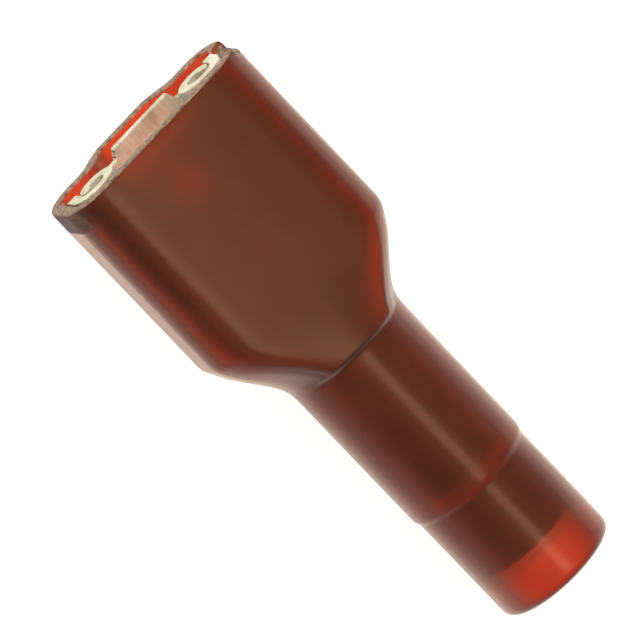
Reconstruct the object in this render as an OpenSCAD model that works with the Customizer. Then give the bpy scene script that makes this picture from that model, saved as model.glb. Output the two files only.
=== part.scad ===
// Insulated female spade terminal: a translucent nylon housing over a stamped receptacle
// for a 6.35 x 0.8 mm tab, with a wire barrel and a separate sleeve that grips the insulation.
// X runs along the terminal to the mouth, and z is up, through the flat face. The origin is
// the middle of the grip sleeve's bore. Places along X are worked out from the wire end, and
// seat() moves each piece to the origin at the last step. All sizes are in millimetres.

/* [Tab and wire] */

// width of the male tab that slides in
tab_w = 6.35; // [6.2:0.05:6.6]
// room beside the tab, each side
tab_play = 0.075; // [0.05:0.005:0.1]
// bore of the grip sleeve, which takes the wire with its insulation
sleeve_bore_d = 3.4; // [3.3:0.02:3.5]

/* [Housing] */

// overall length, wire end to mouth
housing_l = 22; // [21.5:0.1:23]
// height of the lobes' under face below the barrel axis
lobe_drop = 1.2; // [1.15:0.01:1.3]
// radius of the upper side corners
upper_corner_r = 0.4; // [0.3:0.05:0.6]
// radius of the lower side corners
lower_corner_r = 1.2; // [1:0.05:1.3]
// how far the raised upper panel stands over the lobes
panel_rise = 0.4; // [0.3:0.05:0.5]
// how much wider the upper panel's flat is than the wire barrel
panel_margin = 0.8; // [0.5:0.1:1]
// width of the slope at each side of the upper panel
panel_slope_w = 0.6; // [0.4:0.05:0.8]
// how far the lower bulge, flat in its middle, stands under the lobes
bulge_drop = 0.8; // [0.7:0.05:0.9]
// how much wider the lower bulge's round sides are than the wire barrel needs
bulge_spread = 0.25; // [0.2:0.01:0.3]
// length of the straight box, measured from the mouth
box_l = 7.6; // [7.4:0.1:8]
// length of the sloping shoulders
shoulder_l = 3.3; // [3.2:0.1:3.6]
// how far the shoulders have come in at the end of their rounded start
shoulder_ease = 0.42; // [0.35:0.01:0.45]
// length of the shoulders' rounded start
shoulder_ease_l = 1.2; // [1:0.1:1.3]
// how high the end of the upper face and of the lower bulge stands over the barrel
ledge_h = 0.15; // [0.1:0.01:0.2]
// width of the upper face and of the lower bulge where they end
ledge_w = 3.4; // [3:0.1:3.6]
// wall of the barrel over the wire barrel
barrel_wall = 0.45; // [0.42:0.01:0.5]
// wall of the barrel over the grip sleeve
rear_wall = 0.35; // [0.3:0.01:0.38]
// distance of the step in the barrel from the grip sleeve
step_gap = 0.15; // [0.1:0.05:0.3]
// wall of the box
box_wall = 0.5; // [0.45:0.05:0.5]
// room between the box's side walls and the receptacle, each side
side_play = 0.1; // [0.08:0.01:0.15]
// width of the stop that keeps the grip sleeve in
stop_w = 0.25; // [0.2:0.05:0.25]
// radius of the rounded wire end
end_r = 0.3; // [0.2:0.05:0.4]

/* [Receptacle] */

// thickness of the sheet
stock = 0.4; // [0.35:0.05:0.4]
// height over the rolled wings
receptacle_h = 2.5; // [2.4:0.02:2.5]
// length of the rolled wings
wing_l = 6.6; // [6:0.1:6.8]
// how far the wings stand back from the mouth
wing_recess = 0.35; // [0.3:0.05:0.5]
// how far the tongue stands back from the mouth
tongue_recess = 0.05; // [0.02:0.01:0.1]
// width of the tongue
tongue_w = 3; // [2.6:0.1:3.2]
// outside radius of the bend at the floor
floor_bend_r = 0.55; // [0.5:0.05:0.6]
// outside radius of the roll over the tab
roll_r = 1; // [0.9:0.05:1]
// angle that the roll turns through
roll_turn = 198; // [185:1:200]
// hole for the tab's detent
detent_d = 1; // [0.8:0.1:1.4]
// distance of the detent hole from the wings' front edge
detent_x = 2.3; // [2:0.1:3]
// how much narrower the opened channel is than the wings, each side
channel_step = 0.55; // [0.5:0.05:0.7]
// height of the channel's sides
channel_h = 1.1; // [0.9:0.05:1.2]

/* [Wire barrel] */

// room between the wire barrel and the housing's bore
barrel_play = 0.1; // [0.08:0.01:0.15]
// wall of the wire barrel
wire_wall = 0.45; // [0.42:0.01:0.5]
// gap between the wire barrel and the grip sleeve
sleeve_gap = 0.65; // [0.5:0.05:0.8]
// gap between the edges that meet at the seam
seam_gap = 0.12; // [0.08:0.02:0.2]
// width of one serration inside the wire barrel
serration_w = 0.3; // [0.2:0.05:0.4]
// depth of the serrations
serration_depth = 0.12; // [0.08:0.02:0.15]
// spacing of the serrations
serration_pitch = 1.2; // [1:0.1:1.3]

/* [Grip sleeve] */

// wall of the sleeve
sleeve_wall = 0.3; // [0.25:0.01:0.35]
// room between the sleeve and the housing's bore
sleeve_play = 0.05; // [0.04:0.01:0.08]
// length of the sleeve
sleeve_l = 2.9; // [2.7:0.05:3]
// distance of the sleeve from the wire end
sleeve_x = 1.75; // [1.7:0.05:1.85]

/* [Hidden] */
$fn = 96;
hull_fn = 32;
slack = 0.05;
cut = 1;
red = [0.55, 0.1, 0.07];
tin = [0.8, 0.79, 0.74];
receptacle_w = tab_w + 2 * (tab_play + stock);
box_w = receptacle_w + 2 * (side_play + box_wall);
lobe_h = receptacle_h + 2 * (slack + box_wall);
sleeve_d = sleeve_bore_d + 2 * sleeve_wall;
barrel_bore_d = sleeve_d + 2 * sleeve_play;
throat_d = sleeve_d - 2 * stop_w;
barrel_d = barrel_bore_d + 2 * barrel_wall;
rear_d = barrel_bore_d + 2 * rear_wall;
wire_barrel_d = barrel_bore_d - 2 * barrel_play;
wire_bore_d = wire_barrel_d - 2 * wire_wall;
shoulder_x = housing_l - box_l;
barrel_x = shoulder_x - shoulder_l;
step_x = sleeve_x + sleeve_l + step_gap;
wire_x = sleeve_x + sleeve_l + sleeve_gap;
wire_barrel_l = barrel_x - wire_x;
wing_x = housing_l - wing_recess - wing_l;
lobe_bottom = -lobe_drop;
lobe_top = lobe_h - lobe_drop;
panel_w = wire_barrel_d + panel_margin;
bulge_r = barrel_bore_d / 2 - slack + box_wall + bulge_spread;
bulge_z = bulge_r - bulge_spread - bulge_drop - lobe_drop;
bulge_bottom = lobe_bottom - bulge_drop;
floor_z = lobe_bottom + box_wall + slack;
channel_w = receptacle_w - 2 * channel_step;
skin = 0.01;
nest = 0.02;
lap = 0.05;
root = 0.2;
lobe_tuck = 0.24;
middle_tuck = 0.3;
dive_l = 1.4;
dive_r = 0.7;
outer_run = 1.1;
inner_run = 0.3;
origin_x = sleeve_x + sleeve_l / 2;

// moves a piece from its place along the wire end's scale to the origin in the grip sleeve
module seat()
{
    translate([-origin_x, 0, 0])
    children();
}

// lays a section drawn across the terminal (y to the left, z up) along X from x0
module along(x0, length)
{
    translate([x0, 0, 0])
    rotate([90, 0, 90])
    linear_extrude(height = length)
    children();
}

// the two side lobes, with smaller corners above than below
module lobes(inset)
{
    half = box_w / 2 - inset;
    top = lobe_top - inset;
    bottom = lobe_bottom + inset;
    upper = upper_corner_r - inset / 3;
    lower = max(0.1, lower_corner_r - 1.3 * inset);
    union()
    {
        translate([-half + lower, bottom])
        square([2 * (half - lower), top - bottom]);
        translate([-half, bottom + lower])
        square([2 * half, top - bottom - lower - upper]);
        translate([-half + upper, bottom + lower])
        square([2 * (half - upper), top - bottom - lower]);
        for (side = [-1, 1])
        {
            translate([side * (half - lower), bottom + lower])
            circle(r = lower);
            translate([side * (half - upper), top - upper])
            circle(r = upper);
        }
    }
}

// the raised panel above and the bulge below, which let the wire barrel through
module middle(inset)
{
    top = lobe_top + panel_rise - inset;
    half = panel_w / 2 - inset / 2;
    union()
    {
        polygon([
            [-half, top],
            [-half - panel_slope_w, top - panel_rise],
            [-half - panel_slope_w, 0],
            [half + panel_slope_w, 0],
            [half + panel_slope_w, top - panel_rise],
            [half, top]
        ]);
        intersection()
        {
            translate([0, bulge_z])
            circle(r = bulge_r - inset);
            translate([-bulge_r, bulge_bottom + inset])
            square([2 * bulge_r, skin - bulge_bottom - inset]);
        }
    }
}

// where the upper face and the lower bulge end over the barrel, each with a low ledge
module ledge()
{
    half = ledge_w / 2;
    rise = barrel_d / 2 + ledge_h;
    side = barrel_d / 2 - 0.35;
    polygon([
        [-half, side],
        [-half + 0.5, rise],
        [half - 0.5, rise],
        [half, side],
        [half, -side],
        [half - 0.5, -rise],
        [-half + 0.5, -rise],
        [-half, -side]
    ]);
}

// one shoulder: from a section of the box down to the round barrel. Its ends nest just inside
// the box and the barrel, so that no two skins lie on each other
module shoulder(d, part, inset)
{
    hull()
    {
        along(shoulder_x, lap)
        if (part == "lobes")
            lobes(inset + nest, $fn = hull_fn);
        else
            middle(inset + nest, $fn = hull_fn);
        if (part == "lobes")
            along(shoulder_x - shoulder_ease_l, lap)
            lobes(inset + shoulder_ease, $fn = hull_fn);
        translate([barrel_x - root, 0, 0])
        rotate([0, 90, 0])
        cylinder(d = d - (part == "lobes" ? lobe_tuck : middle_tuck), h = lap, $fn = 2 * hull_fn);
        if (inset == 0)
            if (part == "middle")
            along(barrel_x + root, lap)
            ledge();
    }
}

// the barrel's outside, with its step and its rounded wire end
module barrel_skin()
{
    rotate([0, 90, 0])
    rotate_extrude()
    polygon([
        [0, 0],
        [rear_d / 2 - end_r, 0],
        for (a = [15:15:75])
            [rear_d / 2 - end_r + end_r * sin(a), end_r - end_r * cos(a)],
        [rear_d / 2, end_r],
        [rear_d / 2, step_x - 0.12],
        [barrel_d / 2, step_x + 0.06],
        [barrel_d / 2, barrel_x + outer_run],
        [barrel_d / 2 - dive_r, barrel_x + outer_run + dive_l],
        [0, barrel_x + outer_run + dive_l]
    ]);
}

// the barrel's inside: a belled entry, a throat that stops the sleeve, then the long bore
module barrel_bore()
{
    rotate([0, 90, 0])
    rotate_extrude()
    polygon([
        [0, -cut],
        [throat_d / 2 + 0.35, -cut],
        [throat_d / 2 + 0.35, 0],
        [throat_d / 2, 0.75],
        [throat_d / 2, sleeve_x - 0.3],
        [barrel_bore_d / 2, sleeve_x - slack],
        [barrel_bore_d / 2, barrel_x + inner_run],
        [barrel_bore_d / 2 - dive_r, barrel_x + inner_run + dive_l],
        [0, barrel_x + inner_run + dive_l]
    ]);
}

module insulator()
{
    color(red)
    seat()
    difference()
    {
        union()
        {
            along(shoulder_x, box_l)
            {
                lobes(0);
                middle(0);
            }
            shoulder(barrel_d, "lobes", 0);
            shoulder(barrel_d, "middle", 0);
            barrel_skin();
        }
        along(shoulder_x, box_l + cut)
        {
            lobes(box_wall);
            middle(box_wall);
        }
        shoulder(barrel_bore_d, "lobes", box_wall);
        shoulder(barrel_bore_d, "middle", box_wall);
        barrel_bore();
    }
}

// an arc of sheet about (y, z), from angle a0 over a turn, in steps short enough to look round
function arc(y, z, r, a0, turn, steps) =
    [for (i = [0:steps]) [y + r * cos(a0 + turn * i / steps), z + r * sin(a0 + turn * i / steps)]];

// ring of sheet between two radii, kept to the sector from a0 to a1
module bend(y, z, r, a0, a1)
{
    middle_a = (a0 + a1) / 2;
    translate([y, z])
    difference()
    {
        circle(r = r);
        circle(r = r - stock);
        for (a = [a1, a0 - 180])
            rotate(a)
            if (abs(a1 - a0) < 181)
                translate([-2 * r, 0])
                square([4 * r, 2 * r]);
        if (abs(a1 - a0) >= 181)
            polygon([
                [0, 0],
                [3 * r * cos(a1), 3 * r * sin(a1)],
                [3 * r * cos(middle_a + 180), 3 * r * sin(middle_a + 180)],
                [3 * r * cos(a0), 3 * r * sin(a0)]
            ]);
    }
}

// section of the receptacle: floor, bends, sides and the rolls that press on the tab
module receptacle_section()
{
    half = receptacle_w / 2;
    roll_z = floor_z + receptacle_h - roll_r;
    translate([-half + floor_bend_r - skin, floor_z])
    square([2 * (half - floor_bend_r + skin), stock]);
    for (side = [0, 1])
        mirror([side, 0])
        {
            bend(half - floor_bend_r, floor_z + floor_bend_r, floor_bend_r, -90, 0);
            translate([half - stock, floor_z + floor_bend_r - skin])
            square([stock, roll_z - floor_z - floor_bend_r + 2 * skin]);
            bend(half - roll_r, roll_z, roll_r, 0, roll_turn);
        }
}

// middle line of the open channel, by arc length from -1 to 1, and of the wire barrel
channel_half = channel_w / 2 - stock / 2;
channel_r = 0.5;
channel_floor = channel_half - channel_r;
channel_bend = channel_r * PI / 2;
channel_side = channel_h - stock / 2 - channel_r;
channel_run = channel_floor + channel_bend + channel_side;
wire_mid_r = (wire_barrel_d + wire_bore_d) / 4;
wire_turn = 180 - 180 * seam_gap / (PI * wire_mid_r);

function channel_point(s) =
    let (run = abs(s) * channel_run, side = s < 0 ? -1 : 1)
    run <= channel_floor ? [side * run, 0, 0] :
    run <= channel_floor + channel_bend ?
        let (a = (run - channel_floor) / channel_r * 180 / PI)
        [side * (channel_floor + channel_r * sin(a)), channel_r * (1 - cos(a)), side * a] :
        [side * channel_half, channel_r + run - channel_floor - channel_bend, side * 90];

function barrel_point(s) =
    let (a = s * wire_turn)
    [wire_mid_r * sin(a), wire_mid_r * (1 - cos(a)), a];

// a point of the neck: s across the strip, t from the channel to the barrel, k to each face
function neck_point(s, t, k) =
    let (
        e = t * t * (3 - 2 * t),
        c = channel_point(s),
        b = barrel_point(s),
        a = c[2] + (b[2] - c[2]) * e,
        z0 = floor_z + stock / 2 + (-wire_mid_r - floor_z - stock / 2) * e,
        thick = (stock + (wire_wall - stock) * e) / 2 - nest
    )
    [
        shoulder_x + lap - t * (shoulder_l + 2 * lap),
        c[0] + (b[0] - c[0]) * e + k * thick * sin(a),
        z0 + c[1] + (b[1] - c[1]) * e - k * thick * cos(a)
    ];

// the neck, where the flat floor rolls up into the wire barrel
module neck()
{
    across = 28;
    stations = 10;
    ring = 2 * (across + 1);
    points = [
        for (j = [0:stations])
            each concat(
                [for (i = [0:across]) neck_point(2 * i / across - 1, j / stations, 1)],
                [for (i = [across:-1:0]) neck_point(2 * i / across - 1, j / stations, -1)]
            )
    ];
    sides = [
        for (j = [0:stations - 1])
            for (i = [0:ring - 1])
                each [
                    [j * ring + i, j * ring + (i + 1) % ring, (j + 1) * ring + i],
                    [j * ring + (i + 1) % ring, (j + 1) * ring + (i + 1) % ring, (j + 1) * ring + i]
                ]
    ];
    ends = [
        for (i = [0:across - 1])
            each [
                [i, ring - 2 - i, i + 1],
                [i, ring - 1 - i, ring - 2 - i],
                [stations * ring + i, stations * ring + i + 1, stations * ring + ring - 2 - i],
                [stations * ring + i, stations * ring + ring - 2 - i, stations * ring + ring - 1 - i]
            ]
    ];
    polyhedron(points = points, faces = concat(sides, ends), convexity = 6);
}

// the channel that joins the wings to the neck
module channel()
{
    x0 = shoulder_x - skin;
    length = wing_x - shoulder_x + 2 * skin;
    half = channel_w / 2;
    r = channel_r + stock / 2;
    along(x0, length)
    {
        translate([-half + r, floor_z])
        square([2 * (half - r), stock]);
        for (side = [0, 1])
            mirror([side, 0])
            {
                bend(half - r, floor_z + r, r, -90, 0);
                translate([half - stock, floor_z + r - skin])
                square([stock, channel_h - r + skin]);
            }
    }
}

module wire_barrel()
{
    rotate([0, 90, 0])
    difference()
    {
        translate([0, 0, wire_x])
        cylinder(d = wire_barrel_d, h = wire_barrel_l + skin);
        translate([0, 0, wire_x - cut])
        cylinder(d = wire_bore_d, h = wire_barrel_l + 2 * cut);
        for (i = [1:4])
            translate([0, 0, wire_x + i * serration_pitch - serration_w / 2])
            cylinder(d = wire_bore_d + 2 * serration_depth, h = serration_w);
        translate([-wire_barrel_d, -seam_gap / 2, wire_x - cut])
        cube([wire_barrel_d, seam_gap, wire_barrel_l + 2 * cut]);
    }
}

module receptacle()
{
    color(tin)
    seat()
    union()
    {
        difference()
        {
            union()
            {
                along(wing_x, wing_l)
                receptacle_section();
                along(wing_x + wing_l - skin, wing_recess - tongue_recess + skin)
                translate([-tongue_w / 2, floor_z])
                square([tongue_w, stock]);
                channel();
            }
            translate([wing_x + wing_l - detent_x, 0, floor_z - cut])
            cylinder(d = detent_d, h = stock + 2 * cut);
        }
        neck();
        wire_barrel();
    }
}

module grip_sleeve()
{
    color(tin)
    seat()
    translate([sleeve_x, 0, 0])
    rotate([0, 90, 0])
    difference()
    {
        cylinder(d = sleeve_d, h = sleeve_l);
        translate([0, 0, -cut])
        cylinder(d = sleeve_bore_d, h = sleeve_l + 2 * cut);
    }
}

insulator();
receptacle();
grip_sleeve();
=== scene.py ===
import bpy, math
from collections import Counter
from mathutils import Matrix, Vector


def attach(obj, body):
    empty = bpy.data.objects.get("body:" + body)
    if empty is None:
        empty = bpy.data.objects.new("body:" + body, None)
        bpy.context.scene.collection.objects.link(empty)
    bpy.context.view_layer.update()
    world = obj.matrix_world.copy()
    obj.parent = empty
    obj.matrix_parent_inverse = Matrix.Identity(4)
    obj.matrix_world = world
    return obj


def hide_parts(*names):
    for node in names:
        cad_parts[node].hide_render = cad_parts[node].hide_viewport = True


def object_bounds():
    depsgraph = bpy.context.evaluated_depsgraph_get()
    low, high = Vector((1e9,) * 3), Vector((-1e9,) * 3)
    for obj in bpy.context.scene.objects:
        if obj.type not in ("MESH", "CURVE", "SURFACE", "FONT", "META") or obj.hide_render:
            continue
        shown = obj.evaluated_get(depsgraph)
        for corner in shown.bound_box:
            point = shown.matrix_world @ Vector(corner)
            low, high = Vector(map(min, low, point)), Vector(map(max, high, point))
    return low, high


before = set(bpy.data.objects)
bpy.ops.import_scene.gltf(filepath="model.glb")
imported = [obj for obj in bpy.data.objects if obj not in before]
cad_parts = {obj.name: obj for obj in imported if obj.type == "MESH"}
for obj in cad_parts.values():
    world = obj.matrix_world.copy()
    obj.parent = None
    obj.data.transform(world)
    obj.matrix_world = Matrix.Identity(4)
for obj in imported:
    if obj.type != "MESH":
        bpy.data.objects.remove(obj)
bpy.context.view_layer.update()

MM = 0.001
SLEEVE_MIDDLE = 3.2          # mm from the wire end to the frame's origin
MOUTH = 22.0                 # mm from the wire end to the mouth
BARREL = 10.9                # where the slope has reached the barrel


# small tools
def linear(hex_colour):
    """An sRGB hex colour as the linear RGBA that the shader sockets take."""
    out = []
    for i in (1, 3, 5):
        c = int(hex_colour[i:i + 2], 16) / 255
        out.append(c / 12.92 if c <= 0.04045 else ((c + 0.055) / 1.055) ** 2.4)
    return (*out, 1.0)


def mix(a, b, t):
    return a + (b - a) * t


def ease(t):
    """From 0 to 1 with a soft start and a soft end."""
    t = min(1.0, max(0.0, t))
    return t * t * (3 - 2 * t)


def along_table(table, x):
    """Reads a short (place, value) table with straight runs between its entries."""
    if x <= table[0][0]:
        return table[0][1]
    for (x0, v0), (x1, v1) in zip(table, table[1:]):
        if x <= x1:
            return mix(v0, v1, (x - x0) / (x1 - x0))
    return table[-1][1]


def deselect():
    """Nothing selected, in object mode."""
    if bpy.context.object and bpy.context.object.mode != "OBJECT":
        bpy.ops.object.mode_set(mode="OBJECT")
    bpy.ops.object.select_all(action="DESELECT")


def sheet_of(name, rows, columns, place, closed=False):
    """A flat grid is added and every point of it is moved to place(row, column), both 0 to 1."""
    deselect()
    bpy.ops.mesh.primitive_grid_add(x_subdivisions=rows, y_subdivisions=columns, size=2)
    piece = bpy.context.object
    piece.name = name
    for v in piece.data.vertices:
        v.co = Vector(place((v.co.x + 1) / 2, (v.co.y + 1) / 2)) * MM
    bpy.ops.object.mode_set(mode="EDIT")
    bpy.ops.mesh.select_all(action="SELECT")
    if closed:
        bpy.ops.mesh.remove_doubles(threshold=0.002 * MM)
    bpy.ops.mesh.normals_make_consistent(inside=False)
    bpy.ops.object.mode_set(mode="OBJECT")
    return piece


def finish_with(piece, **modifiers):
    """Adds modifiers in order and applies each."""
    deselect()
    bpy.context.view_layer.objects.active = piece
    piece.select_set(True)
    for kind, settings in modifiers.items():
        m = piece.modifiers.new(kind, kind)
        for key, value in settings.items():
            setattr(m, key, value)
        bpy.ops.object.modifier_apply(modifier=m.name)


def smooth(piece, degrees):
    deselect()
    bpy.context.view_layer.objects.active = piece
    piece.select_set(True)
    bpy.ops.object.shade_smooth_by_angle(angle=math.radians(degrees))


# the housing's section, in mm
HALF_WIDTH, TOP, LOBE_BOTTOM = 4.25, 2.8, -1.2
UPPER_CORNER, LOWER_CORNER = 0.3, 1.2
FLAT_HALF = 2.3                      # the upper face falls away from here to the sides
BULGE_R, SECTION_MIDDLE, BULGE_TOP, BULGE_BOTTOM = 2.75, 0.5, 0.2, -2.0
LEAN = 0.94                          # evens out the crown's distance, which is measured straight up
WALL = 0.5


def soft_min(a, b, k):
    """The smaller of two distances, blended over k so that the edge between them is rounded."""
    h = max(k - abs(a - b), 0.0) / k
    return min(a, b) - h * h * k / 4


def crown(y):
    """Height of the flat face, which is a little crowned and falls away towards the sides."""
    return TOP - 0.005 * y * y - 0.15 * max(0.0, abs(y) - FLAT_HALF) ** 3


def lobes(y, z, wall):
    """Distance outside the two side lobes, which are rounder below, and the crowned face."""
    mid = (TOP + LOBE_BOTTOM) / 2
    r = UPPER_CORNER if z > mid else LOWER_CORNER - wall * 1.3
    half_z = (TOP - LOBE_BOTTOM) / 2
    qy = abs(y) - (HALF_WIDTH - wall) + r
    qz = abs(z - mid) - (half_z - wall) + r
    box = min(max(qy, qz), 0.0) + math.hypot(max(qy, 0.0), max(qz, 0.0)) - r
    return -soft_min(-box, -(z - crown(y) + wall) * LEAN, 0.3)


def bulge(y, z, wall):
    """Distance outside the bulge under the box, with round sides and a flat bottom."""
    return max(math.hypot(y, z - SECTION_MIDDLE) - (BULGE_R - wall), z - BULGE_TOP, BULGE_BOTTOM + wall - z)


def outside(y, z, wall):
    return soft_min(lobes(y, z, wall), bulge(y, z, wall), 0.35)


def section(angle, wall):
    """The point of the box's section in the direction of angle, from its middle."""
    low, high = 0.3, 6.0
    c, s = math.cos(angle), math.sin(angle)
    for _ in range(26):
        r = (low + high) / 2
        if outside(r * c, SECTION_MIDDLE + r * s, wall) > 0:
            high = r
        else:
            low = r
    return low * c, SECTION_MIDDLE + low * s


AROUND = 360
ANGLES = [2 * math.pi * i / AROUND for i in range(AROUND)]
# where a direction of the box's section ends up round the barrel, in degrees up from the side:
# the upper corners run in towards the middle, so that the flat face narrows to the barrel
DRIFT = [(-90, -90), (-29, -44), (-6.7, -10), (20, 42), (27, 52), (90, 90)]


def barrel_angle(a):
    """Where the section's direction a ends up round the barrel."""
    side = 1 if math.cos(a) >= 0 else -1
    up = math.degrees(math.atan2(math.sin(a), abs(math.cos(a))))
    b = math.radians(along_table(DRIFT, up))
    return math.atan2(math.sin(b), side * math.cos(b))


ROUND = [barrel_angle(a) for a in ANGLES]
SKIN = [section(a, 0.0) for a in ANGLES]
LINING = [section(a, WALL) for a in ANGLES]

# share of the way from box to barrel, by distance from the mouth, of the sides and the under face
SLOPE = [(7.6, 0), (7.8, 0.02), (8.0, 0.07), (8.35, 0.165), (8.7, 0.28), (9.05, 0.42), (9.4, 0.565),
         (9.77, 0.71), (10.13, 0.845), (10.45, 0.935), (10.75, 0.985), (11.1, 1.0)]
# the same for the upper face, which ends in a low ledge over the barrel
UPPER = [(7.6, 0), (8.2, 0.03), (9.0, 0.12), (10.0, 0.28), (10.48, 0.36), (10.56, 0.42), (10.62, 0.56),
         (10.68, 0.78), (10.74, 0.94), (10.82, 1.0)]
# and for the bulge below, which ends in a ledge like the upper one
LOWER = [(7.6, 0), (8.2, 0.1), (9.0, 0.5), (10.0, 1.05), (10.5, 1.26), (10.58, 1.3), (10.64, 1.24),
         (10.7, 1.12), (10.76, 1.03), (10.84, 1.0)]
# outside radius of the barrel, by distance from the wire end
OUTER_R = [(0.0, 2.12), (0.02, 2.2), (0.07, 2.29), (0.16, 2.36), (0.3, 2.4), (4.55, 2.4), (4.65, 2.41),
           (4.75, 2.445), (4.85, 2.485), (4.95, 2.5), (11.2, 2.5)]
# inside radius of the barrel
INNER_R = [(0.0, 2.08), (0.05, 2.02), (0.2, 1.93), (0.45, 1.82), (0.75, 1.75), (1.4, 1.75), (1.47, 1.79),
           (1.66, 2.03), (1.7, 2.05), (11.2, 2.05)]


def ring(i, x, inner):
    """The housing's point in direction i, x mm from the wire end, on its skin or its lining."""
    a = ROUND[i]
    r = along_table(INNER_R if inner else OUTER_R, x)
    barrel = (r * math.cos(a), r * math.sin(a))
    if x < BARREL:
        return barrel
    box = (LINING if inner else SKIN)[i]
    t = along_table(SLOPE, MOUTH - x)
    # how far the point belongs to the upper face, and to the bulge's bottom
    above = 0.0 if inner else ease((box[1] - 1.6) / 0.7)
    below = 0.0 if inner else ease((-box[1] - 1.35) / 0.5)
    t_z = mix(t, along_table(UPPER, MOUTH - x), above)
    t_z = mix(t_z, along_table(LOWER, MOUTH - x), below)
    return mix(box[0], barrel[0], t), mix(box[1], barrel[1], t_z)


def places(*runs):
    """Places along X from runs of (start, end, count), each without its end."""
    out = []
    for start, end, count in runs:
        out += [start + (end - start) * k / count for k in range(count)]
    return out


# where the rings lie, in mm from the wire end: up the outside, over the rim and back down the inside
OUT_X = [0.0, 0.02, 0.07, 0.16, 0.3] + places((0.5, 4.55, 6)) + \
    [4.55, 4.6, 4.65, 4.7, 4.75, 4.8, 4.85, 4.9, 4.95] + \
    places((5.1, 10.9, 8), (10.9, 11.15, 2), (11.15, 11.55, 10), (11.55, 14.6, 24), (14.6, 21.1, 9)) + \
    [21.1, 21.5, 21.9, 21.95, 21.985]
IN_X = [21.985, 21.95, 21.9] + places((21.8, 14.6, 10), (14.6, 10.9, 26), (10.9, 1.75, 8)) + \
    [1.7, 1.66, 1.58, 1.5, 1.47, 1.4, 1.0, 0.75, 0.6, 0.45, 0.3, 0.2, 0.1, 0.05]
RINGS = [(x, False) for x in OUT_X] + [(MOUTH, False), (MOUTH, True)] + [(x, True) for x in IN_X]
# how far a ring near the mouth leans into the wall, which rounds the rim
RIM = {21.95: 0.015, 21.985: 0.045, MOUTH: 0.11}
SHORT_SIDE = 0.3                     # the side wall at -Y ends this much short of the mouth


def housing_point(row, column):
    x, inner = RINGS[round(row * len(RINGS)) % len(RINGS)]
    i = round(column * AROUND) % AROUND
    y, z = ring(i, x, inner)
    lean = RIM.get(x, 0.0)
    if lean:
        oy, oz = ring(i, x, not inner)
        gap = math.hypot(oy - y, oz - z)
        y, z = mix(y, oy, lean / gap), mix(z, oz, lean / gap)
    short = SHORT_SIDE * ease((-y - 3.6) / 0.15) * ease(z / 0.15) * ease((2.1 - z) / 0.2)
    return x - short * ease((x - 21.0) / 0.9) - SLEEVE_MIDDLE, y, z


housing = sheet_of("housing", len(RINGS), AROUND, housing_point, closed=True)
smooth(housing, 50)
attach(housing, "root")
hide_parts("insulator")


# the receptacle, one sheet of tinned brass, in mm
SHEET = 0.41
FLOOR_MID = -0.45                    # middle of the sheet's thickness in the floor
ON_FLOOR = -0.4                      # what lies below this is floor
WING_BACK, WIRE_BACK = 15.05, 5.3    # back ends of the wings and of the wire barrel
NECK_FRONT, NECK_BACK = 14.55, 11.1  # between these the open channel rolls up
FRONT, ROLL_FRONT, TONGUE_FRONT = 21.6, 21.93, 21.97
TONGUE = (-1.75, 1.16)               # the tongue's two sides at its tip, a little off the middle
HOLE_X, HOLE_R = 19.35, 0.5          # the detent hole in the floor

# the winged section: floor, bend, side and roll, each by its run along the sheet
FLOOR_RUN, BEND_RUN, SIDE_RUN, BEND_R = 3.1, 0.55, 0.95, 0.35
ROLL_Y, ROLL_Z, ROLL_R = 2.65, 0.85, 0.8
ROLL_SHARE = 0.4                     # share of the grid's columns that the roll takes
ROLL_TURN, CURLED_TURN = 3.456, 6.5  # radians, along the wings and at the mouth
# the open channel behind the wings, and the wire barrel's middle line and serrations
CHANNEL_RUN, CHANNEL_BEND_RUN, CHANNEL_BEND_R, CHANNEL_TOTAL = 2.75, 0.785, 0.5, 5.16
WIRE_R, SEAM = 1.725, 0.02
RIB_PITCH, RIB_HEIGHT, RIB_WIDTH, RIBS = 1.2, 0.03, 0.13, 4


def wing_line(s, curl):
    """The middle line of the winged section, s from -1 to 1; curl tightens its two rolls."""
    side = -1 if s < 0 else 1
    flat = 1 - ROLL_SHARE
    run = min(abs(s) / flat, 1.0) * (FLOOR_RUN + BEND_RUN + SIDE_RUN)
    if run < FLOOR_RUN:
        return side * run, FLOOR_MID
    if run < FLOOR_RUN + BEND_RUN:
        a = (run - FLOOR_RUN) / BEND_R
        return side * (FLOOR_RUN + BEND_R * math.sin(a)), FLOOR_MID + BEND_R * (1 - math.cos(a))
    if run < FLOOR_RUN + BEND_RUN + SIDE_RUN:
        return side * (FLOOR_RUN + BEND_R), FLOOR_MID + BEND_R + run - FLOOR_RUN - BEND_RUN
    t = (abs(s) - flat) / ROLL_SHARE
    a = mix(ROLL_TURN, CURLED_TURN, curl) * t
    r = ROLL_R * (1 - 0.68 * curl * t * t)
    return side * (ROLL_Y + r * math.cos(a)), ROLL_Z + r * math.sin(a)


def wings_point(row, column):
    """Floor, sides and rolls. The rolls curl in at the mouth, and the tongue reaches it."""
    s = column * 2 - 1
    y, z = wing_line(s, 0.0)
    x = mix(WING_BACK, FRONT, row)
    if z < ON_FLOOR:
        # the tongue is a little wider at its root, so its left side slants
        in_front = ease(x - (FRONT - 1.0))
        left = TONGUE[1] + min(0.34, 4.0 * (1 - row))
        inside = ease((y - TONGUE[0] + 0.06) / 0.14) * ease((left - y + 0.12) / 0.28)
        x = mix(x, mix(WING_BACK, TONGUE_FRONT, row), in_front * inside)
    else:
        x = mix(WING_BACK, mix(FRONT, ROLL_FRONT, ease((z - ON_FLOOR) / 0.6)), row)
    y, z = wing_line(s, ease((x - 21.0) / 0.6))
    return x - SLEEVE_MIDDLE, y, z


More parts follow.
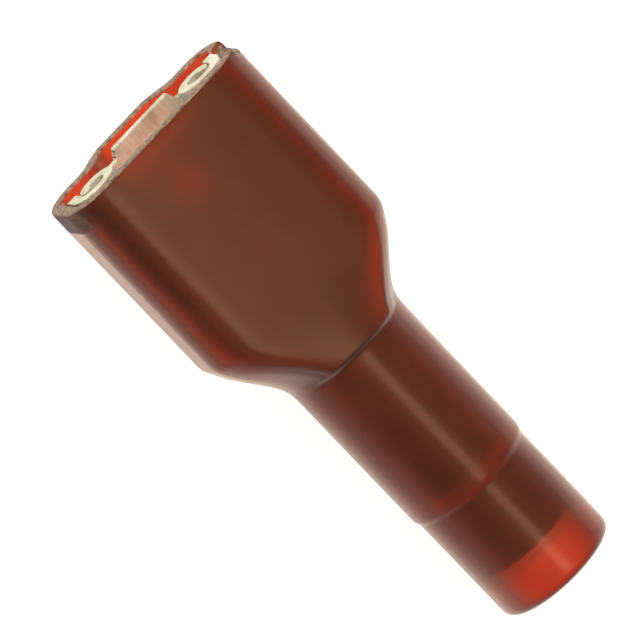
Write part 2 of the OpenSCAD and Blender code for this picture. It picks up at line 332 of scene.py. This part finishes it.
def channel_line(s):
    """The middle line of the open channel, s from -1 to 1, from the floor up."""
    side = -1 if s < 0 else 1
    run = abs(s) * CHANNEL_TOTAL
    if run < CHANNEL_RUN:
        return side * run, 0.0
    if run < CHANNEL_RUN + CHANNEL_BEND_RUN:
        a = (run - CHANNEL_RUN) / CHANNEL_BEND_R
        return side * (CHANNEL_RUN + CHANNEL_BEND_R * math.sin(a)), CHANNEL_BEND_R * (1 - math.cos(a))
    return side * (CHANNEL_RUN + CHANNEL_BEND_R), CHANNEL_BEND_R + run - CHANNEL_RUN - CHANNEL_BEND_RUN


def funnel_point(row, column):
    """The floor's sides draw together behind the wings and roll up into the wire barrel."""
    s = column * 2 - 1
    x = mix(WING_BACK, WIRE_BACK, row)
    open_y, open_z = channel_line(s)
    ribs = sum(math.exp(-((x - WIRE_BACK - RIB_PITCH * (i + 1)) / RIB_WIDTH) ** 2) for i in range(RIBS))
    r = WIRE_R + RIB_HEIGHT * ribs
    a = s * (math.pi - SEAM)
    rolled = ease((NECK_FRONT - x) / (NECK_FRONT - NECK_BACK))
    y = mix(open_y, r * math.sin(a), rolled)
    z = mix(FLOOR_MID, -r, rolled) + mix(open_z, r * (1 - math.cos(a)), rolled)
    return x - SLEEVE_MIDDLE, y, z


def from_hole(point):
    """How far a point of the sheet is from the detent hole's middle, in mm."""
    x, y, z = point / MM
    return math.hypot(x + SLEEVE_MIDDLE - HOLE_X, y) if z < ON_FLOOR else math.inf


wings = sheet_of("wings", 90, 230, wings_point)
# the detent hole: its faces are deleted, and the edge that is left is drawn to a circle
bpy.ops.object.mode_set(mode="EDIT")
bpy.ops.mesh.select_all(action="DESELECT")
bpy.ops.object.mode_set(mode="OBJECT")
for f in wings.data.polygons:
    f.select = from_hole(f.center) < HOLE_R
bpy.ops.object.mode_set(mode="EDIT")
bpy.ops.mesh.select_mode(type="FACE")
bpy.ops.mesh.delete(type="FACE")
bpy.ops.object.mode_set(mode="OBJECT")
uses = Counter(key for f in wings.data.polygons for key in f.edge_keys)
rim = {i for key, count in uses.items() if count == 1 for i in key}
for i in rim:
    v = wings.data.vertices[i]
    off = from_hole(v.co)
    if off < HOLE_R + 0.15:
        middle = Vector((HOLE_X - SLEEVE_MIDDLE, 0.0, v.co.z / MM)) * MM
        v.co = middle + (v.co - middle) * HOLE_R / off

receptacle = sheet_of("receptacle_sheet", 110, 110, funnel_point)
wings.select_set(True)
bpy.context.view_layer.objects.active = receptacle
bpy.ops.object.join()
finish_with(receptacle, SOLIDIFY={"thickness": SHEET * MM, "offset": 0.0},
            BEVEL={"width": 0.06 * MM, "segments": 2, "limit_method": "ANGLE",
                   "angle_limit": math.radians(60)})
smooth(receptacle, 40)
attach(receptacle, "root")
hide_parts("receptacle")


# materials
def material(name):
    m = bpy.data.materials.new(name)
    m.use_nodes = True
    m.node_tree.nodes.clear()
    return m


def add(m, kind, settings=None, links=None, **inputs):
    """Adds a node with its settings, its constant inputs and its links (socket -> (node, output))."""
    n = m.node_tree.nodes.new(kind)
    for key, value in (settings or {}).items():
        setattr(n, key, value)
    for key, value in inputs.items():
        n.inputs[key.replace("_", " ")].default_value = value
    for key, (source, output) in (links or {}).items():
        m.node_tree.links.new(source.outputs[output], n.inputs[key])
    return n


def shader(m, links, settings):
    """The surface shader and the output, with the constants set on the shader's own sockets."""
    n = add(m, "ShaderNodeBsdfPrincipled", links=links)
    for key, value in settings.items():
        n.inputs[key].default_value = value
    add(m, "ShaderNodeOutputMaterial", links={"Surface": (n, "BSDF")})
    return n


def grains(size):
    """The scale of a noise whose grains are size mm across."""
    return 1 / (size * MM)


def two_tones(m, noise, output, low, dark, high, light):
    """A colour that goes from dark to light as the noise goes from low to high."""
    tone = add(m, "ShaderNodeValToRGB", links={"Fac": (noise, output)})
    for stop, place, colour in zip(tone.color_ramp.elements, (low, high), (dark, light)):
        stop.position = place
        stop.color = linear(colour)
    return tone


def blend(m, share, output, first, second):
    """The first node's colour where the share is 0, and the second's where it is 1."""
    n = add(m, "ShaderNodeMix", {"data_type": "RGBA"}, {"Factor": (share, output)})
    m.node_tree.links.new(first.outputs["Color"], n.inputs[6])
    m.node_tree.links.new(second.outputs["Color"], n.inputs[7])
    return n


def times_and_plus(m, source, output, factor, other, other_output):
    """One value times a factor, plus another value."""
    n = add(m, "ShaderNodeMath", {"operation": "MULTIPLY_ADD"}, {"Value": (source, output)})
    n.inputs[1].default_value = factor
    m.node_tree.links.new(other.outputs[other_output], n.inputs[2])
    return n


def spread(m, source, low, high, new_low, new_high):
    """Turns one range of a noise into another."""
    n = add(m, "ShaderNodeMapRange", links={"Value": (source, "Fac")})
    for key, value in (("From Min", low), ("From Max", high), ("To Min", new_low), ("To Max", new_high)):
        n.inputs[key].default_value = value
    return n


# nylon, injection moulded: red all through and cloudy, so that the metal inside shows only as
# brown shade and light from behind glows red; the skin itself is smooth and takes a clear gloss
nylon = material("red_nylon_moulded")
where = add(nylon, "ShaderNodeTexCoord")
waves = add(nylon, "ShaderNodeTexNoise", links={"Vector": (where, "Object")}, Scale=grains(1.43),
            Detail=2.0)
clouds = add(nylon, "ShaderNodeTexNoise", links={"Vector": (where, "Object")}, Scale=grains(3.85),
             Detail=4.0)
grain = add(nylon, "ShaderNodeTexNoise", links={"Vector": (where, "Object")}, Scale=grains(0.111),
            Detail=2.0)
tint = two_tones(nylon, clouds, "Fac", 0.3, "#cf3821", 0.7, "#f2512e")
unevenness = times_and_plus(nylon, grain, "Fac", 0.12, waves, "Fac")
skin_bump = add(nylon, "ShaderNodeBump", links={"Height": (unevenness, "Value")}, Strength=0.12,
                Distance=0.1 * MM)
dull = spread(nylon, clouds, 0.3, 0.7, 0.5, 0.58)
# towards the edges, where the nylon is seen through more of its depth, its colour is painted darker, and at
# the very edge it is painted pale white: a painted reflection of the white paper turned towards the eye
edge = add(nylon, "ShaderNodeLayerWeight", Blend=0.5)
# the ramp holds these painted colours: darker red, then pale white at grazing angles
turned = add(nylon, "ShaderNodeValToRGB", links={"Fac": (edge, "Facing")})
for place, colour in ((0.33, "#8a3629"), (0.48, "#b08a78"), (0.6, "#eadccb"), (0.8, "#fff4e6")):
    e = turned.color_ramp.elements.new(place)
    e.color = linear(colour)
turned.color_ramp.elements.remove(turned.color_ramp.elements[0])
turned.color_ramp.elements.remove(turned.color_ramp.elements[-1])
painted_edge_share = add(nylon, "ShaderNodeMapRange", {"interpolation_type": "SMOOTHSTEP"}, {"Value": (edge, "Facing")})
painted_edge_share.inputs["From Min"].default_value = 0.14
painted_edge_share.inputs["From Max"].default_value = 0.4
skin = blend(nylon, painted_edge_share, "Result", tint, turned)
body = shader(nylon, {"Normal": (skin_bump, "Normal"), "Roughness": (dull, "Result")},
              {"Transmission Weight": 1.0, "IOR": 1.53, "Specular Tint": (0.9, 0.42, 0.18, 1),
               "Coat Weight": 0.4, "Coat Roughness": 0.22, "Coat IOR": 1.5,
               "Sheen Weight": 1.0, "Sheen Roughness": 0.28, "Sheen Tint": (1.0, 0.93, 0.84, 1)})
nylon.node_tree.links.new(skin.outputs[2], body.inputs["Base Color"])
# the deeper the nylon that the light has crossed, the darker it gets
depth = add(nylon, "ShaderNodeVolumeAbsorption", Density=150.0)
depth.inputs["Color"].default_value = (0.25, 0.0, 0.0, 1)
exit_node = next(n for n in nylon.node_tree.nodes if n.type == "OUTPUT_MATERIAL")
nylon.node_tree.links.new(depth.outputs["Volume"], exit_node.inputs["Volume"])
housing.data.materials.append(nylon)


def scuffed_and_painted_dark(name, dark, light):
    """The same nylon, matt, browner and full of fine scratches: for where it is scuffed, and for a painted
    dark reflection.
    """
    m = material(name)
    place = add(m, "ShaderNodeTexCoord")
    # real scratches are finer, and are drawn this coarse so that they show
    scratches = add(m, "ShaderNodeTexNoise", links={"Vector": (place, "Object")}, Scale=grains(0.2),
                    Detail=4.0)
    tone = two_tones(m, scratches, "Fac", 0.35, dark, 0.65, light)
    rough_bump = add(m, "ShaderNodeBump", links={"Height": (scratches, "Fac")}, Strength=0.5,
                     Distance=0.04 * MM)
    shader(m, {"Normal": (rough_bump, "Normal"), "Base Color": (tone, "Color")},
           {"Roughness": 0.6, "Transmission Weight": 0.25, "IOR": 1.53})
    return m


# the mouth's rim is rubbed to a grey brown; a darker patch on the +Y side wall next to the mouth is a
# painted dark reflection
housing.data.materials.append(scuffed_and_painted_dark("red_nylon_worn_rim", "#5c463a", "#a8927c"))
housing.data.materials.append(scuffed_and_painted_dark("red_nylon_painted_dark_reflection", "#3e241b", "#6c4838"))
MOUTH_X = MOUTH - SLEEVE_MIDDLE
for f in housing.data.polygons:
    c = f.center / MM
    at_rim = c.x > MOUTH_X - 0.06
    at_short_side = c.x > MOUTH_X - 0.4 and c.y < -3.7 and 0.1 < c.z < 2.0
    # a painted dark reflection on the +Y side wall, within 0.9 mm of the mouth
    at_painted_dark_reflection = c.x > MOUTH_X - 0.9 and c.y > 3.9 and f.normal.y > 0.6
    f.material_index = 1 if at_rim or at_short_side else 2 if at_painted_dark_reflection else 0


def tin(name, dark, light, painted_lit_dark, painted_lit_light, roughness):
    """Brass sheet, stamped and tin plated: satin, with rolling lines along X. A shaded copy of its colour,
    a painted shade, is dark inside the housing, and a lit copy, a painted light, is bright and less
    metallic at the mouth, on the tongue's tip and the ends of the rolls."""
    m = material(name)
    place = add(m, "ShaderNodeTexCoord")
    stretch = add(m, "ShaderNodeMapping", links={"Vector": (place, "Object")})
    stretch.inputs["Scale"].default_value = (0.15, 1.0, 1.0)
    # real rolling lines are finer, and are drawn this coarse so that they show
    lines = add(m, "ShaderNodeTexNoise", links={"Vector": (stretch, "Vector")}, Scale=grains(0.167),
                Detail=3.0)
    stains = add(m, "ShaderNodeTexNoise", links={"Vector": (place, "Object")}, Scale=grains(1.11),
                 Detail=3.0)
    marks = times_and_plus(m, lines, "Fac", 0.6, stains, "Fac")
    painted_shaded_tone = two_tones(m, marks, "Value", 0.6, dark, 1.0, light)
    painted_lit_tone = two_tones(m, marks, "Value", 0.6, painted_lit_dark, 1.0, painted_lit_light)
    parts = add(m, "ShaderNodeSeparateXYZ", links={"Vector": (place, "Object")})
    # X less 0.35 of Z, so that the low tongue is painted bright further back than the high rolls
    front = times_and_plus(m, parts, "Z", -0.35, parts, "X")
    painted_lit_share = add(m, "ShaderNodeMapRange", {"interpolation_type": "SMOOTHSTEP"}, {"Value": (front, "Value")})
    painted_lit_share.inputs["From Min"].default_value = 17.95 * MM
    painted_lit_share.inputs["From Max"].default_value = 18.1 * MM
    colour = blend(m, painted_lit_share, "Result", painted_shaded_tone, painted_lit_tone)
    bump = add(m, "ShaderNodeBump", links={"Height": (marks, "Value")}, Strength=0.2, Distance=0.03 * MM)
    n = shader(m, {"Normal": (bump, "Normal")}, {"Roughness": roughness})
    # the painted bright part is also made less metallic, so that the mouth's lamp lights it as a pale
    # diffuse colour
    metallic_where_painted_lit = add(m, "ShaderNodeMapRange", links={"Value": (painted_lit_share, "Result")})
    metallic_where_painted_lit.inputs["To Min"].default_value = 0.85
    metallic_where_painted_lit.inputs["To Max"].default_value = 0.3
    m.node_tree.links.new(metallic_where_painted_lit.outputs["Result"], n.inputs["Metallic"])
    m.node_tree.links.new(colour.outputs[2], n.inputs["Base Color"])
    return m


# its first two colours are the painted shade inside the housing, the next two the painted light at the
# mouth
plated = tin("tin_plated_brass_stamped", "#3a2e25", "#54463a", "#b6b094", "#e8e6d6", 0.48)
receptacle.data.materials.append(plated)
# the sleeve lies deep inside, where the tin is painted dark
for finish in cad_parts["grip_sleeve"].material_slots:
    finish.material = plated


# floor, light and camera
FLOOR_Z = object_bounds()[0].z
deselect()
bpy.ops.mesh.primitive_plane_add(size=1.2, location=(0, 0, FLOOR_Z - 0.02 * MM))
floor = bpy.context.object
floor.name = "floor"
paper = material("white_paper_floor")
rays = add(paper, "ShaderNodeLightPath")
seen = rays.outputs["Is Camera Ray"]
for kind in ("Is Glossy Ray", "Is Transmission Ray"):
    either = add(paper, "ShaderNodeMath", {"operation": "MAXIMUM"})
    paper.node_tree.links.new(seen, either.inputs[0])
    paper.node_tree.links.new(rays.outputs[kind], either.inputs[1])
    seen = either.outputs[0]
# white by itself for the eye, less the share that keeps the terminal's shadow
shaded = add(paper, "ShaderNodeMath", {"operation": "MULTIPLY"})
paper.node_tree.links.new(seen, shaded.inputs[0])
shaded.inputs[1].default_value = 0.88
matt = add(paper, "ShaderNodeBsdfDiffuse", Color=linear("#f2f2f2"))
lit = add(paper, "ShaderNodeEmission", Color=(1, 1, 1, 1), Strength=1.1)
sheet = add(paper, "ShaderNodeMixShader")
paper.node_tree.links.new(shaded.outputs[0], sheet.inputs[0])
paper.node_tree.links.new(matt.outputs[0], sheet.inputs[1])
paper.node_tree.links.new(lit.outputs[0], sheet.inputs[2])
add(paper, "ShaderNodeOutputMaterial", links={"Surface": (sheet, "Shader")})
floor.data.materials.append(paper)

# the room: white round the horizon, dimmer above it and a soft pale ceiling
world = bpy.data.worlds.new("studio")
bpy.context.scene.world = world
world.use_nodes = True
world.node_tree.nodes.clear()
way = add(world, "ShaderNodeTexCoord")
parts = add(world, "ShaderNodeSeparateXYZ", links={"Vector": (way, "Generated")})
room = add(world, "ShaderNodeValToRGB", links={"Fac": (parts, "Z")})
room.color_ramp.elements[0].position = 0.02
room.color_ramp.elements[0].color = (1, 0.95, 0.88, 1)
room.color_ramp.elements[1].position = 0.3
room.color_ramp.elements[1].color = (0.45, 0.42, 0.36, 1)
for at, grey in ((0.6, 0.45), (0.9, 0.62)):
    stop = room.color_ramp.elements.new(at)
    stop.color = (grey, grey * 0.88, grey * 0.68, 1)
rays = add(world, "ShaderNodeLightPath")
level = add(world, "ShaderNodeMix", {"data_type": "RGBA"})
world.node_tree.links.new(rays.outputs["Is Camera Ray"], level.inputs[0])
world.node_tree.links.new(room.outputs["Color"], level.inputs[6])
level.inputs[7].default_value = (1, 1, 1, 1)
sky = add(world, "ShaderNodeBackground", Strength=1.0)
world.node_tree.links.new(level.outputs[2], sky.inputs["Color"])
add(world, "ShaderNodeOutputWorld", links={"Surface": (sky, "Background")})


def area_light(name, direction, distance, wide, long, power, colour):
    """A rectangular lamp that faces the terminal, with its long side turned to X."""
    at = AIM + Vector(direction).normalized() * distance
    bpy.ops.object.light_add(type="AREA", location=at)
    lamp = bpy.context.object
    lamp.name = name
    lamp.data.shape = "RECTANGLE"
    lamp.data.size, lamp.data.size_y = long, wide
    lamp.data.energy = power
    lamp.data.color = colour
    z_axis = (at - AIM).normalized()
    y_axis = z_axis.cross(Vector((1, 0, 0))).normalized()
    turn = Matrix((y_axis.cross(z_axis), y_axis, z_axis)).transposed().to_4x4()
    lamp.matrix_world = Matrix.Translation(at) @ turn
    return lamp


AIM = Vector((9.26, 0.0, 0.0)) * MM
area_light("strip_overhead", (-0.238, -0.03, 0.97), 0.3, 0.08, 0.16, 0.2, (1.0, 0.68, 0.46))
# this one lights the mouth's inside, and is kept out of the reflections on the nylon's skin
mouth_lamp = area_light("softbox_at_mouth", (0.75, -0.1, 0.6), 0.3, 0.12, 0.12, 0.7, (1.0, 0.96, 0.86))
mouth_lamp.visible_glossy = False

# the photograph's angle: 15 degrees towards the mouth, 11 towards +Y, the mouth up and to the left
THETA, PSI, TURN = math.radians(15.0), math.radians(11.0), math.radians(133.7)
PICTURE, PIXELS_PER_MM = 640, 28.77
DISTANCE, FIELD = 0.6, PICTURE / PIXELS_PER_MM * MM
to_camera = Vector((math.sin(THETA) * math.cos(PSI), math.sin(PSI), math.cos(THETA) * math.cos(PSI)))
along = (Vector((1, 0, 0)) - to_camera * to_camera.x).normalized()
across = to_camera.cross(along)
right = along * math.cos(TURN) - across * math.sin(TURN)
up = along * math.sin(TURN) + across * math.cos(TURN)
bpy.ops.object.camera_add()
camera = bpy.context.object
camera.data.lens = camera.data.sensor_width / FIELD * DISTANCE
camera.data.clip_start, camera.data.clip_end = 0.01, 10
camera.matrix_world = Matrix.Translation(AIM + to_camera * DISTANCE) @ Matrix(
    (right, up, to_camera)).transposed().to_4x4()
bpy.context.scene.camera = camera
bpy.context.scene.view_settings.view_transform = "Standard"
